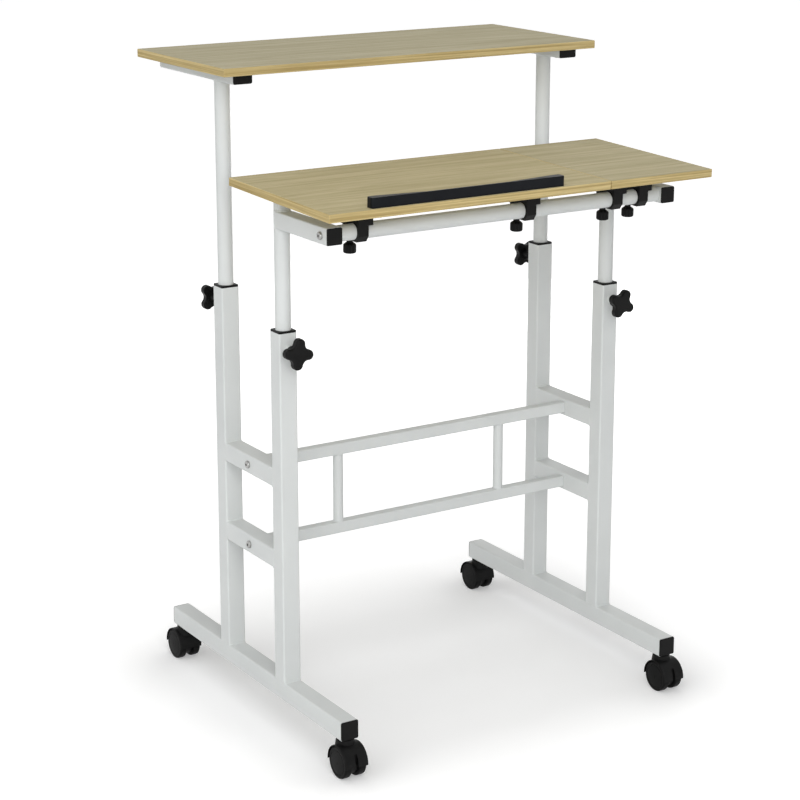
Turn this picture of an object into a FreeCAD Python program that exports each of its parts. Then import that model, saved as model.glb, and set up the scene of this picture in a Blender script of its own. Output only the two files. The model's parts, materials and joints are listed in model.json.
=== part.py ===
import FreeCAD, Part
import math
import os

from FreeCAD import Rotation, Vector

# A mobile standing desk. Two welded side frames stand on casters and are tied by a ladder of
# crossbars. A rear lift carries a fixed shelf. A front lift carries a pivot tube, on which a
# large and a small panel tilt by clamping clips.
# Millimetres. X runs along the boards, the user stands on the -Y side, the floor is Z = 0.

# Boards
board_length = 800.0
board_depth = 345.0
board_thickness = 15.0
board_edge = 1.0
shelf_top = 1205.0
panel_top = 1010.5
panel_tilt = 1.5
boards_apart = 10.0
panel_split = 172.0
panel_gap = 2.0

# Side frames: square tube feet, posts and rails
frame_half_width = 352.0
frame_tube = 35.0
frame_wall = 1.5
frame_corner = 3.0
foot_length = 650.0
caster_height = 70.0
post_spacing = 212.0
front_post_top = 756.0
rear_post_top = 796.0
lower_rail_height = 334.0
upper_rail_height = 487.0

# Crossbar ladder
crossbar_depth = 20.0
crossbar_height = 22.0
crossbar_wall = 1.5
crossbar_corner = 2.5
crossbar_end_plate = 4.0
crossbar_end_edge = 1.5
strut_diameter = 19.0
strut_wall = 1.5
strut_spacing = 362.0

# Lifts: round tubes that slide in the posts
lift_tube = 28.0
lift_wall = 1.5
rear_tube_length = 620.0
front_tube_length = 500.0
bushing_rim = 3.6
bushing_edge = 0.8
bushing_reveal = 0.3
bushing_sleeve = 45.0
bushing_fit = 0.08

# Shelf bars on the rear lift
shelf_bar_width = 38.0
shelf_bar_height = 18.0
shelf_bar_wall = 1.5
shelf_bar_corner = 3.0
shelf_bar_length = 290.0
shelf_bar_setback = 21.0
shelf_screw_spacing = 220.0

# Arms and pivot tube on the front lift
arm_side = 30.0
arm_wall = 1.5
arm_corner = 2.5
arm_reach = 180.0
arm_below_board = 25.0
pivot_tube = 28.0
pivot_wall = 1.5
pivot_end_plate = 4.0
pivot_setback = 22.0
tube_plug_flange = 3.0
tube_plug_insert = 14.0
tube_plug_edge = 1.0
panel_rest_gap = 0.3

# Plugs in the open ends of square tubes
plug_flange = 2.5
plug_reveal = 0.5
plug_insert = 14.0
foot_plug_insert = 6.0
plug_skin = 2.0
plug_clearance = 0.1
plug_edge = 0.6

# Bolts and screws
bolt_diameter = 8.0
bolt_head = 14.0
bolt_head_height = 4.5
bolt_head_round = 2.7
bolt_socket = 5.0
bolt_socket_depth = 2.5
bolt_grip = 12.0
board_screw_bite = 11.0
board_screw_tip_gap = 0.5
shelf_screw = 5.0
clip_screw = 4.0
screw_head_ratio = 2.0
screw_head_height = 3.0
screw_head_round = 1.5
screw_head_room = 0.4

# Clips that clamp the panels on the pivot tube
clip_width = 19.7
clip_wall_front = 5.0
clip_below_tube = 2.5
clip_behind_axis = 34.0
clip_bore_fit = 0.05
clip_chamfer_run = 7.0
clip_chamfer_rise = 10.5
clip_slit = 4.0
clip_pocket_depth = 5.0
clip_pocket_margin = 5.0
clip_pocket_corner = 3.0
ear_width = 10.5
ear_depth = 20.0
ear_corner = 4.0
ear_grip = 10.0
ear_root = 2.5
ear_above_axis = 12.0
large_panel_clips_x = (-294.5, 49.5)
small_panel_clips_x = (240.5, 298.0)

# Thumb screws that tighten the clips
thumb_behind_axis = 26.0
thumb_shank = 6.0
thumb_fit = 0.1
thumb_neck = 11.0
thumb_neck_length = 7.0
thumb_shoulder = 4.5
thumb_head = 22.5
thumb_head_height = 14.5
thumb_head_edge = 3.0
thumb_flutes = 12
thumb_flute_radius = 1.6
thumb_blind_depth = 12.0
thumb_seat_gap = 0.3
thumb_tip_gap = 1.0

# Book stop on the front edge of the large panel
stop_length = 391.0
stop_centre = -121.0
stop_height = 18.0
stop_end_depth = 18.0
stop_middle_depth = 6.0
stop_taper = 95.0
stop_setback = 5.0
stop_end_corner = 5.0
stop_edge = 1.5
stop_screw_inset = 22.0

# Star knobs that lock the lifts
knob_below_post_top = 30.0
knob_span = 56.0
knob_lobe = 18.5
knob_hollow = 11.0
knob_thickness = 14.0
knob_front_edge = 4.0
knob_back_edge = 1.2
knob_hub = 20.0
knob_hub_base = 23.0
knob_hub_length = 17.0
knob_stud_bite = 16.0
stud_diameter = 8.0
stud_fit = 0.05
stud_passage = 0.6
stud_tip_gap = 0.4
boss_diameter = 16.0
boss_length = 10.0
boss_to_hub_gap = 1.0
knob_turn = {"front_left": -8.0, "front_right": -29.0, "rear_left": 45.0, "rear_right": 45.0}

# Casters: a hood on a swivel stem, with a wheel on each side of its web
caster_end_inset = 17.0
caster_trail = 9.0
caster_width = 46.0
wheel_radius = 29.0
wheel_thickness = 14.8
wheel_edge = 3.0
wheel_dome = 0.8
wheel_disc = 21.5
wheel_groove = 1.0
wheel_groove_depth = 0.8
wheel_skin = 3.0
wheel_side_gap = 0.5
wheel_rim_gap = 1.2
hood_wall = 1.8
hood_edge = 1.5
hood_skirt_drop = 2.0
hood_web = 13.0
hood_web_radius = 23.0
hood_slot = 6.0
hood_slot_floor = 1.0
hood_boss = 32.0
hood_boss_base = 38.0
hood_boss_depth = 18.0
hood_boss_edge = 1.5
axle_diameter = 6.0
axle_fit = 0.05
axle_end_gap = 0.5
stem_diameter = 8.0
stem_fit = 0.05
stem_depth = 38.0
stem_above_foot = 18.0
stem_tip_gap = 1.0
stem_washer = 24.0
stem_washer_thickness = 1.3
stem_washer_gap = 0.3
stem_nut = 13.0
stem_nut_height = 6.5

# Places worked out from the sizes above
up = Vector(0, 0, 1)
right = Vector(1, 0, 0)
left = Vector(-1, 0, 0)
front = Vector(0, -1, 0)
rear = Vector(0, 1, 0)

sides = {"left": -1, "right": 1}
ends = {"front": -1, "rear": 1}
foot_top = caster_height + frame_tube
foot_middle = caster_height + frame_tube / 2
post_tops = {"front": front_post_top, "rear": rear_post_top}
post_y = {end: sign * post_spacing / 2 for end, sign in ends.items()}
shelf_front = boards_apart / 2
shelf_rear = shelf_front + board_depth
shelf_bottom = shelf_top - board_thickness
shelf_bar_bottom = shelf_bottom - shelf_bar_height
shelf_bar_front = shelf_front + shelf_bar_setback
panel_bottom = panel_top - board_thickness
arm_height = panel_bottom - arm_below_board - arm_side / 2
arm_front = post_y["front"] - arm_reach
pivot_y = arm_front + pivot_setback
lean_sine = math.sin(math.radians(panel_tilt))
lean_cosine = math.cos(math.radians(panel_tilt))
crossbar_length = 2 * frame_half_width - frame_tube
pivot_length = 2 * frame_half_width - arm_side
clip_height = panel_bottom - arm_height
stem_y = foot_length / 2 - caster_end_inset

# The panels are laid out level, then leaned about the pivot until they lie on the front lift tubes.
# The rounded top edge of their front then lies as far forward as the shelf reaches to the rear.
edge_centre = -shelf_rear + board_edge - pivot_y + (panel_top - board_edge - arm_height) * lean_sine
panel_front = pivot_y + edge_centre / lean_cosine - board_edge
panel_rear = panel_front + board_depth
tube_reach = post_y["front"] - lift_tube / 2 - pivot_y
panel_rest = arm_height + (clip_height + tube_reach * lean_sine) / lean_cosine
front_tube_top = panel_rest - panel_rest_gap - tube_plug_flange


def put(shape, x, y, z, direction=up):
    """Turn a piece that was built along +Z to a direction, and set it at a place."""
    placed = shape.copy()
    move = FreeCAD.Placement(Vector(x, y, z), Rotation(up, direction))
    placed.Placement = move.multiply(shape.Placement)
    return placed


def edges_along(shape, direction):
    """The straight edges of a shape that run in a direction."""
    straight = [edge for edge in shape.Edges if isinstance(edge.Curve, Part.Line)]
    return [edge for edge in straight if abs(edge.Curve.Direction.dot(direction)) > 0.99]


def edges_at(shape, height):
    """The edges of a shape that lie flat at one height."""
    tolerance = 1e-4
    return [
        edge
        for edge in shape.Edges
        if abs(edge.BoundBox.ZMin - height) < tolerance and abs(edge.BoundBox.ZMax - height) < tolerance
    ]


def bar(width, height, length, corner):
    """A solid bar along +Z with rounded long edges, its section centred on the axis."""
    block = Part.makeBox(width, height, length, Vector(-width / 2, -height / 2, 0))
    return block.makeFillet(corner, edges_along(block, up))


def box_tube(width, height, length, wall, corner):
    """A rectangular tube along +Z."""
    hollow = bar(width - 2 * wall, height - 2 * wall, length, corner - wall)
    return bar(width, height, length, corner).cut(hollow)


def rod(diameter, length):
    """A round rod along +Z."""
    return Part.makeCylinder(diameter / 2, length)


def pipe(diameter, wall, length):
    """A round tube along +Z."""
    return rod(diameter, length).cut(rod(diameter - 2 * wall, length))


def prism(points, direction):
    """A closed outline of points, carried along a direction."""
    return Part.Face(Part.makePolygon(points + points[:1])).extrude(direction)


def end_plug(width, height, wall, corner, depth=plug_insert):
    """A tube's end plug: a flange above Z = 0 and a hollow insert below it."""
    flange = bar(width - 2 * plug_reveal, height - 2 * plug_reveal, plug_flange, corner)
    flange = flange.makeFillet(plug_edge, edges_at(flange, plug_flange))
    inset = wall + plug_clearance
    insert = bar(width - 2 * inset, height - 2 * inset, depth, corner - wall)
    inset += plug_skin
    hollow = bar(width - 2 * inset, height - 2 * inset, depth, corner - wall)
    return flange.fuse(put(insert.cut(hollow), 0, 0, -depth)).removeSplitter()


def button_bolt(grip):
    """A round-headed bolt with a socket: the head stands above Z = 0 and the shank goes below it."""
    head = rod(bolt_head, bolt_head_height)
    head = head.makeFillet(bolt_head_round, edges_at(head, bolt_head_height))
    socket = hexagon(bolt_socket, bolt_socket_depth)
    head = head.cut(put(socket, 0, 0, bolt_head_height - bolt_socket_depth))
    return head.fuse(put(rod(bolt_diameter, grip), 0, 0, -grip)).removeSplitter()


def hexagon(across_flats, height):
    """A hexagonal prism along +Z."""
    radius = across_flats / math.sqrt(3)
    angles = [math.radians(60 * step) for step in range(6)]
    points = [Vector(radius * math.cos(angle), radius * math.sin(angle), 0) for angle in angles]
    return prism(points, Vector(0, 0, height))


def pan_screw(diameter, length):
    """A pan-headed screw: the shank goes up from Z = 0 and the head hangs below it."""
    head = rod(diameter * screw_head_ratio, screw_head_height)
    head = head.makeFillet(screw_head_round, edges_at(head, 0))
    return put(head, 0, 0, -screw_head_height).fuse(rod(diameter, length)).removeSplitter()


def make_foot(side):
    """A foot: a square tube from front to rear, with a hole in its floor for each caster stem."""
    length = foot_length - 2 * plug_flange
    x = side * frame_half_width
    tube = box_tube(frame_tube, frame_tube, length, frame_wall, frame_corner)
    foot = put(tube, x, -length / 2, foot_middle, rear)
    hole = rod(stem_diameter, 2 * frame_wall)
    for end in ends.values():
        foot = foot.cut(put(hole, x, end * stem_y, caster_height - frame_wall / 2))
    return foot


def make_foot_caps():
    """The four plugs in the ends of the feet."""
    plug = end_plug(frame_tube, frame_tube, frame_wall, frame_corner, foot_plug_insert)
    reach = foot_length / 2 - plug_flange
    return [
        put(plug, side * frame_half_width, end * reach, foot_middle, Vector(0, end, 0))
        for side in sides.values()
        for end in ends.values()
    ]


def make_post(side, end):
    """A post that stands on the foot, with a hole for the lock knob's stud."""
    top = post_tops[end]
    outward = Vector(0, ends[end], 0)
    x = side * frame_half_width
    tube = box_tube(frame_tube, frame_tube, top - foot_top, frame_wall, frame_corner)
    post = put(tube, x, post_y[end], foot_top)
    hole = rod(stud_diameter + 2 * stud_passage, frame_tube)
    return post.cut(put(hole, x, post_y[end], top - knob_below_post_top, outward))


def make_side_rails(side):
    """The two rails between the posts of one side frame, drilled for the crossbar bolts."""
    length = post_spacing - frame_tube
    rail = box_tube(frame_tube, frame_tube, length, frame_wall, frame_corner)
    hole = rod(bolt_diameter, 2 * frame_tube)
    rails = []
    for height in (lower_rail_height, upper_rail_height):
        x = side * frame_half_width
        placed = put(rail, x, -length / 2, height, rear)
        rails.append(placed.cut(put(hole, x - frame_tube, 0, height, right)))
    return rails


def make_crossbar(height):
    """A crossbar with a drilled plate closing each end."""
    half = crossbar_length / 2
    body = box_tube(crossbar_height, crossbar_depth, crossbar_length, crossbar_wall, crossbar_corner)
    plate = bar(
        crossbar_height - 2 * crossbar_wall,
        crossbar_depth - 2 * crossbar_wall,
        crossbar_end_plate,
        crossbar_corner - crossbar_wall,
    )
    body = body.fuse([plate, put(plate, 0, 0, crossbar_length - crossbar_end_plate)]).removeSplitter()
    body = body.makeFillet(crossbar_end_edge, edges_at(body, 0) + edges_at(body, crossbar_length))
    body = body.cut(rod(bolt_diameter, crossbar_length))
    return put(body, -half, 0, height, right)


def make_struts():
    """The two round struts between the crossbars."""
    bottom = lower_rail_height + crossbar_height / 2
    length = upper_rail_height - lower_rail_height - crossbar_height
    strut = pipe(strut_diameter, strut_wall, length)
    return [put(strut, side * strut_spacing / 2, 0, bottom) for side in sides.values()]


def make_crossbar_bolts():
    """The four bolts that go through the side rails into the crossbars."""
    bolt = button_bolt(frame_tube + bolt_grip)
    reach = frame_half_width + frame_tube / 2
    return [
        put(bolt, side * reach, 0, height, Vector(side, 0, 0))
        for side in sides.values()
        for height in (lower_rail_height, upper_rail_height)
    ]


def make_bushings():
    """The plastic bushings in the post tops: a square rim, a sleeve in the post and a round bore."""
    rim_side = frame_tube - 2 * bushing_reveal
    rim = bar(rim_side, rim_side, bushing_rim, frame_corner)
    rim = rim.makeFillet(bushing_edge, edges_at(rim, bushing_rim))
    sleeve_side = frame_tube - 2 * frame_wall - 2 * plug_clearance
    sleeve = bar(sleeve_side, sleeve_side, bushing_sleeve, frame_corner - frame_wall)
    sleeve = put(sleeve, 0, 0, -bushing_sleeve)
    bore = put(rod(lift_tube + 2 * bushing_fit, bushing_rim + bushing_sleeve), 0, 0, -bushing_sleeve)
    blank = rim.fuse(sleeve).cut(bore).removeSplitter()
    passage = rod(stud_diameter + 2 * stud_passage, frame_tube)
    bushings = []
    for side in sides.values():
        for end, sign in ends.items():
            bushing = blank.cut(put(passage, 0, 0, -knob_below_post_top, Vector(0, sign, 0)))
            bushings.append(put(bushing, side * frame_half_width, post_y[end], post_tops[end]))
    return bushings


def make_knob_bosses():
    """The threaded bosses welded on the posts for the lock knobs."""
    boss = rod(boss_diameter, boss_length).cut(rod(stud_diameter + 2 * stud_fit, boss_length))
    return [
        put(
            boss,
            side * frame_half_width,
            post_y[end] + sign * frame_tube / 2,
            post_tops[end] - knob_below_post_top,
            Vector(0, sign, 0),
        )
        for side in sides.values()
        for end, sign in ends.items()
    ]


def make_caster_stems():
    """The threaded stems under the feet, each with its washer and its nut inside the foot."""
    bottom = caster_height - stem_depth
    stem = put(rod(stem_diameter, stem_depth + stem_above_foot), 0, 0, bottom)
    washer = put(rod(stem_washer, stem_washer_thickness), 0, 0, caster_height - stem_washer_thickness)
    stem = stem.fuse(washer).removeSplitter()
    nut = hexagon(stem_nut, stem_nut_height).cut(rod(stem_diameter, stem_nut_height))
    nut = put(nut, 0, 0, caster_height + frame_wall)
    return [
        put(piece, side * frame_half_width, end * stem_y, 0)
        for side in sides.values()
        for end in ends.values()
        for piece in (stem, nut)
    ]


def make_board(x_low, x_high, y_low, y_high, bottom):
    """A board with softened edges."""
    board = Part.makeBox(x_high - x_low, y_high - y_low, board_thickness, Vector(x_low, y_low, bottom))
    return board.makeFillet(board_edge, board.Edges)


def shelf_screw_places():
    """Where the screws go up through the shelf bars."""
    middle = shelf_bar_front + shelf_bar_length / 2
    return [
        (side * frame_half_width, middle + end * shelf_screw_spacing / 2)
        for side in sides.values()
        for end in ends.values()
    ]


def make_shelf():
    """The upper shelf with pilot holes for its screws."""
    shelf = make_board(-board_length / 2, board_length / 2, shelf_front, shelf_rear, shelf_bottom)
    pilot = rod(shelf_screw, board_screw_bite + board_screw_tip_gap)
    for x, y in shelf_screw_places():
        shelf = shelf.cut(put(pilot, x, y, shelf_bottom))
    return shelf


def make_shelf_bar(side):
    """A flat tube under the shelf, drilled for the shelf screws."""
    length = shelf_bar_length - 2 * plug_flange
    tube = box_tube(shelf_bar_width, shelf_bar_height, length, shelf_bar_wall, shelf_bar_corner)
    middle = shelf_bar_bottom + shelf_bar_height / 2
    tube = put(tube, side * frame_half_width, shelf_bar_front + plug_flange, middle, rear)
    for x, y in shelf_screw_places():
        tube = tube.cut(put(rod(shelf_screw, shelf_bar_height), x, y, shelf_bar_bottom))
    return tube


def make_shelf_bar_caps():
    """The plugs in the ends of the shelf bars."""
    plug = end_plug(shelf_bar_width, shelf_bar_height, shelf_bar_wall, shelf_bar_corner)
    middle_y = shelf_bar_front + shelf_bar_length / 2
    reach = shelf_bar_length / 2 - plug_flange
    height = shelf_bar_bottom + shelf_bar_height / 2
    return [
        put(plug, side * frame_half_width, middle_y + end * reach, height, Vector(0, end, 0))
        for side in sides.values()
        for end in ends.values()
    ]


def make_shelf_screws():
    """The screws through the shelf bars into the shelf."""
    screw = pan_screw(shelf_screw, shelf_bar_height + board_screw_bite)
    return [put(screw, x, y, shelf_bar_bottom) for x, y in shelf_screw_places()]


def make_rear_tube(side):
    """A rear lift tube, from inside the post up to the shelf bar."""
    tube = pipe(lift_tube, lift_wall, rear_tube_length)
    return put(tube, side * frame_half_width, post_y["rear"], shelf_bar_bottom - rear_tube_length)


def make_front_tube(side):
    """A front lift tube, which also carries the panels when they lie down."""
    tube = pipe(lift_tube, lift_wall, front_tube_length)
    return put(tube, side * frame_half_width, post_y["front"], front_tube_top - front_tube_length)


def make_front_tube_plugs():
    """The round plugs on the front lift tubes, on which the panels rest."""
    cap = rod(lift_tube, tube_plug_flange)
    cap = cap.makeFillet(tube_plug_edge, edges_at(cap, tube_plug_flange))
    insert = rod(lift_tube - 2 * lift_wall - 2 * plug_clearance, tube_plug_insert)
    plug = cap.fuse(put(insert, 0, 0, -tube_plug_insert)).removeSplitter()
    return [put(plug, side * frame_half_width, post_y["front"], front_tube_top) for side in sides.values()]


def make_arm(side):
    """An arm that reaches forward from its lift tube, notched to fit round the tube."""
    x = side * frame_half_width
    length = arm_reach - plug_flange
    tube = box_tube(arm_side, arm_side, length, arm_wall, arm_corner)
    arm = put(tube, x, post_y["front"], arm_height, front)
    notch = put(rod(lift_tube, 2 * arm_side), x, post_y["front"], arm_height - arm_side)
    hole = put(rod(bolt_diameter, 2 * arm_side), x - arm_side, pivot_y, arm_height, right)
    return arm.cut([notch, hole])


def make_arm_caps():
    """The plugs in the front ends of the arms."""
    plug = end_plug(arm_side, arm_side, arm_wall, arm_corner)
    y = arm_front + plug_flange
    return [put(plug, side * frame_half_width, y, arm_height, front) for side in sides.values()]


def make_pivot_tube():
    """The round tube between the arms, closed by drilled end plates."""
    plate = rod(pivot_tube - 2 * pivot_wall, pivot_end_plate)
    body = pipe(pivot_tube, pivot_wall, pivot_length)
    body = body.fuse([plate, put(plate, 0, 0, pivot_length - pivot_end_plate)]).removeSplitter()
    body = body.cut(rod(bolt_diameter, pivot_length))
    return put(body, -pivot_length / 2, pivot_y, arm_height, right)


def make_pivot_bolts():
    """The bolts that hold the pivot tube between the arms."""
    bolt = button_bolt(arm_side + bolt_grip)
    reach = frame_half_width + arm_side / 2
    return [put(bolt, side * reach, pivot_y, arm_height, Vector(side, 0, 0)) for side in sides.values()]


def ear_places():
    """The clip's two screw ears, as the side and the end of the clip that each stands at."""
    ear_x = clip_width / 2 + ear_width / 2
    front_y = -pivot_tube / 2 - clip_wall_front + ear_depth / 2
    rear_y = clip_behind_axis - ear_depth / 2
    return [(ear_x, front_y), (-ear_x, rear_y)]


def make_clip():
    """A moulded clip round the pivot tube, which lies on the X axis: a split clamp with two screw ears."""
    tube_radius = pivot_tube / 2
    front_y = -tube_radius - clip_wall_front
    bottom = -tube_radius - clip_below_tube
    half = clip_width / 2
    outline = [
        Vector(-half, front_y, clip_height),
        Vector(-half, front_y, bottom + clip_chamfer_rise),
        Vector(-half, front_y + clip_chamfer_run, bottom),
        Vector(-half, clip_behind_axis, bottom),
        Vector(-half, clip_behind_axis, clip_height),
    ]
    clip = prism(outline, Vector(clip_width, 0, 0))
    pocket_bottom = tube_radius + clip_pocket_margin
    pocket_height = clip_height - clip_pocket_margin - pocket_bottom
    pocket_length = clip_behind_axis - front_y - ear_depth - 2 * clip_pocket_margin
    pocket = bar(pocket_height, pocket_length, clip_pocket_depth, clip_pocket_corner)
    pocket_z = pocket_bottom + pocket_height / 2
    plain_front = clip_behind_axis - ear_depth - clip_pocket_margin - pocket_length / 2
    plain_rear = front_y + ear_depth + clip_pocket_margin + pocket_length / 2
    clip = clip.cut([
        put(pocket, -half, plain_front, pocket_z, right),
        put(pocket, half - clip_pocket_depth, plain_rear, pocket_z, right),
    ])
    ear_height = clip_height - ear_above_axis
    for x, y in ear_places():
        ear = bar(ear_width + ear_root, ear_depth, ear_height, ear_corner)
        inward = math.copysign(ear_root / 2, x)
        clip = clip.fuse(put(ear, x - inward, y, ear_above_axis))
    bore = put(rod(pivot_tube + 2 * clip_bore_fit, 4 * clip_width), -2 * clip_width, 0, 0, right)
    slit = Part.makeBox(clip_width, clip_behind_axis, clip_slit, Vector(-half, 0, -clip_slit / 2))
    cuts = [bore, slit]
    head_room = clip_screw * screw_head_ratio + 2 * screw_head_room
    for x, y in ear_places():
        cuts.append(put(rod(clip_screw, ear_height), x, y, ear_above_axis))
        cuts.append(put(rod(head_room, ear_height - ear_grip), x, y, ear_above_axis))
    screw_hole = rod(thumb_shank + 2 * thumb_fit, clip_height - bottom - thumb_blind_depth)
    cuts.append(put(screw_hole, 0, thumb_behind_axis, bottom))
    return clip.cut(cuts).removeSplitter()


def make_clips(places):
    """The clips of one panel."""
    clip = make_clip()
    return [put(clip, x, pivot_y, arm_height) for x in places]


def clip_screw_places(clips):
    """Where the clip screws of one panel go up into the board."""
    return [(x + ear_x, pivot_y + ear_y) for x in clips for ear_x, ear_y in ear_places()]


def stop_screw_places():
    """Where the two screws of the book stop go up through the large panel."""
    y = panel_front + stop_setback + stop_end_depth / 2
    reach = stop_length / 2 - stop_screw_inset
    return [(stop_centre + side * reach, y) for side in sides.values()]


def make_panel(x_low, x_high, clips, through):
    """A tilting panel with pilot holes for its clip screws and holes right through for a book stop."""
    panel = make_board(x_low, x_high, panel_front, panel_rear, panel_bottom)
    pilot = rod(clip_screw, board_screw_bite + board_screw_tip_gap)
    for x, y in clip_screw_places(clips):
        panel = panel.cut(put(pilot, x, y, panel_bottom))
    for x, y in through:
        panel = panel.cut(put(rod(clip_screw, board_thickness), x, y, panel_bottom))
    return panel


def make_clip_screws(clips):
    """The screws that hold one panel's clips."""
    screw = pan_screw(clip_screw, ear_grip + board_screw_bite)
    return [put(screw, x, y, panel_bottom - ear_grip) for x, y in clip_screw_places(clips)]


def make_stop_screws():
    """The screws that hold the book stop from below."""
    screw = pan_screw(clip_screw, board_thickness + board_screw_bite)
    return [put(screw, x, y, panel_bottom) for x, y in stop_screw_places()]


def make_book_stop():
    """The book stop: a low bar with deep ends and a thin middle."""
    half = stop_length / 2
    y = panel_front + stop_setback
    outline = [
        Vector(-half, 0, 0),
        Vector(half, 0, 0),
        Vector(half, stop_end_depth, 0),
        Vector(half - stop_end_depth, stop_end_depth, 0),
        Vector(half - stop_end_depth - stop_taper, stop_middle_depth, 0),
        Vector(-half + stop_end_depth + stop_taper, stop_middle_depth, 0),
        Vector(-half + stop_end_depth, stop_end_depth, 0),
        Vector(-half, stop_end_depth, 0),
    ]
    stop = prism(outline, Vector(0, 0, stop_height))
    corners = [edge for edge in edges_along(stop, up) if abs(abs(edge.CenterOfMass.x) - half) < 1e-3]
    stop = stop.makeFillet(stop_end_corner, corners)
    stop = stop.makeFillet(stop_edge, edges_at(stop, stop_height))
    stop = put(stop, stop_centre, y, panel_top)
    for x, screw_y in stop_screw_places():
        stop = stop.cut(put(rod(clip_screw, board_screw_bite + board_screw_tip_gap), x, screw_y, panel_top))
    return stop


def star(span, lobe, hollow, thickness):
    """A four-lobed star: round lobes joined by hollow arcs that are tangent to them."""
    lobe_radius = lobe / 2
    lobe_reach = span / 2 - lobe_radius
    diagonal = math.radians(45)
    across = lobe_reach * math.sin(diagonal)
    hollow_reach = lobe_reach * math.cos(diagonal) + math.sqrt((lobe_radius + hollow) ** 2 - across ** 2)

    def polar(reach, angle):
        return Vector(reach * math.cos(angle), reach * math.sin(angle), 0)

    def touch(lobe_angle, hollow_angle):
        """The point where a lobe meets a hollow, on the line between their centres."""
        centre = polar(lobe_reach, lobe_angle)
        towards = polar(hollow_reach, hollow_angle) - centre
        return centre + towards.normalize() * lobe_radius

    arcs = []
    for quarter in range(4):
        angle = quarter * 2 * diagonal
        start = touch(angle, angle - diagonal)
        finish = touch(angle, angle + diagonal)
        arcs.append(Part.Arc(start, polar(span / 2, angle), finish).toShape())
        following = touch(angle + 2 * diagonal, angle + diagonal)
        arcs.append(Part.Arc(finish, polar(hollow_reach - hollow, angle + diagonal), following).toShape())
    return Part.Face(Part.Wire(arcs)).extrude(Vector(0, 0, thickness))


def make_knob(side, end):
    """A star knob on a hub, with its steel stud as a second solid: it points out from the post."""
    sign = ends[end]
    seat = frame_tube / 2 + boss_length + boss_to_hub_gap
    head = star(knob_span, knob_lobe, knob_hollow, knob_thickness)
    head = head.makeFillet(knob_front_edge, edges_at(head, knob_thickness))
    head = head.makeFillet(knob_back_edge, edges_at(head, 0))
    hub = Part.makeCone(knob_hub / 2, knob_hub_base / 2, knob_hub_length)
    knob = put(head, 0, 0, knob_hub_length).fuse(hub).removeSplitter()
    stud_start = lift_tube / 2 + stud_tip_gap
    stud = put(rod(stud_diameter, seat - stud_start + knob_stud_bite), 0, 0, stud_start - seat)
    knob = knob.cut(stud)
    place = (side * frame_half_width, post_y[end] + sign * seat, post_tops[end] - knob_below_post_top)
    name = end + "_" + ("left" if side < 0 else "right")
    pieces = [put(piece, *place, Vector(0, sign, 0)) for piece in (knob, stud)]
    for piece in pieces:
        piece.rotate(Vector(*place), Vector(0, sign, 0), knob_turn[name])
    return pieces


def make_thumb_screw(x):
    """A fluted thumb screw under a clip, with its steel shank as a second solid."""
    clip_bottom = -pivot_tube / 2 - clip_below_tube
    neck_top = clip_bottom - thumb_seat_gap
    head_top = neck_top - thumb_neck_length
    full_height = thumb_head_height + thumb_shoulder
    head_bottom = head_top - full_height
    shoulder = Part.makeCone(thumb_head / 2, thumb_neck / 2, thumb_shoulder)
    head = rod(thumb_head, thumb_head_height).fuse(put(shoulder, 0, 0, thumb_head_height)).removeSplitter()
    head = head.makeFillet(thumb_head_edge, edges_at(head, 0) + edges_at(head, thumb_head_height))
    flute = rod(2 * thumb_flute_radius, full_height)
    flutes = []
    for step in range(thumb_flutes):
        angle = math.radians(360 * step / thumb_flutes)
        flutes.append(put(flute, thumb_head / 2 * math.cos(angle), thumb_head / 2 * math.sin(angle), 0))
    head = put(head.cut(flutes), 0, 0, head_bottom)
    neck = put(rod(thumb_neck, thumb_neck_length), 0, 0, head_top)
    shank_bottom = head_bottom + full_height / 2
    shank_top = clip_height - thumb_blind_depth - thumb_tip_gap
    shank = put(rod(thumb_shank, shank_top - shank_bottom), 0, 0, shank_bottom)
    grip = head.fuse(neck).removeSplitter().cut(shank)
    return [put(piece, x, pivot_y + thumb_behind_axis, arm_height) for piece in (grip, shank)]


def make_wheel():
    """A wheel round the Z axis, with its inner face at Z = 0 and a domed disc outside."""
    bore = axle_diameter / 2 + axle_fit
    bore_depth = wheel_thickness - wheel_skin
    slope = wheel_edge * (1 - math.cos(math.radians(45)))
    groove_outer = wheel_disc + wheel_groove
    groove_floor = wheel_thickness - wheel_groove_depth

    def point(radius, height):
        return Vector(radius, 0, height)

    def line(start, finish):
        return Part.makeLine(point(*start), point(*finish))

    def arc(start, middle, finish):
        return Part.Arc(point(*start), point(*middle), point(*finish)).toShape()

    shoulder = wheel_radius - wheel_edge
    inner_mid = (wheel_radius - slope, slope)
    outer_mid = (wheel_radius - slope, wheel_thickness - slope)
    dome_radius = (wheel_disc ** 2 + wheel_dome ** 2) / (2 * wheel_dome)
    dome_centre = wheel_thickness + wheel_dome - dome_radius
    dome_mid = (wheel_disc / 2, dome_centre + math.sqrt(dome_radius ** 2 - (wheel_disc / 2) ** 2))
    profile = [
        line((bore, 0), (shoulder, 0)),
        arc((shoulder, 0), inner_mid, (wheel_radius, wheel_edge)),
        line((wheel_radius, wheel_edge), (wheel_radius, wheel_thickness - wheel_edge)),
        arc((wheel_radius, wheel_thickness - wheel_edge), outer_mid, (shoulder, wheel_thickness)),
        line((shoulder, wheel_thickness), (groove_outer, wheel_thickness)),
        line((groove_outer, wheel_thickness), (groove_outer, groove_floor)),
        line((groove_outer, groove_floor), (wheel_disc, groove_floor)),
        line((wheel_disc, groove_floor), (wheel_disc, wheel_thickness)),
        arc((wheel_disc, wheel_thickness), dome_mid, (0, wheel_thickness + wheel_dome)),
        line((0, wheel_thickness + wheel_dome), (0, bore_depth)),
        line((0, bore_depth), (bore, bore_depth)),
        line((bore, bore_depth), (bore, 0)),
    ]
    return Part.Face(Part.Wire(profile)).revolve(Vector(), up, 360)


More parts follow.
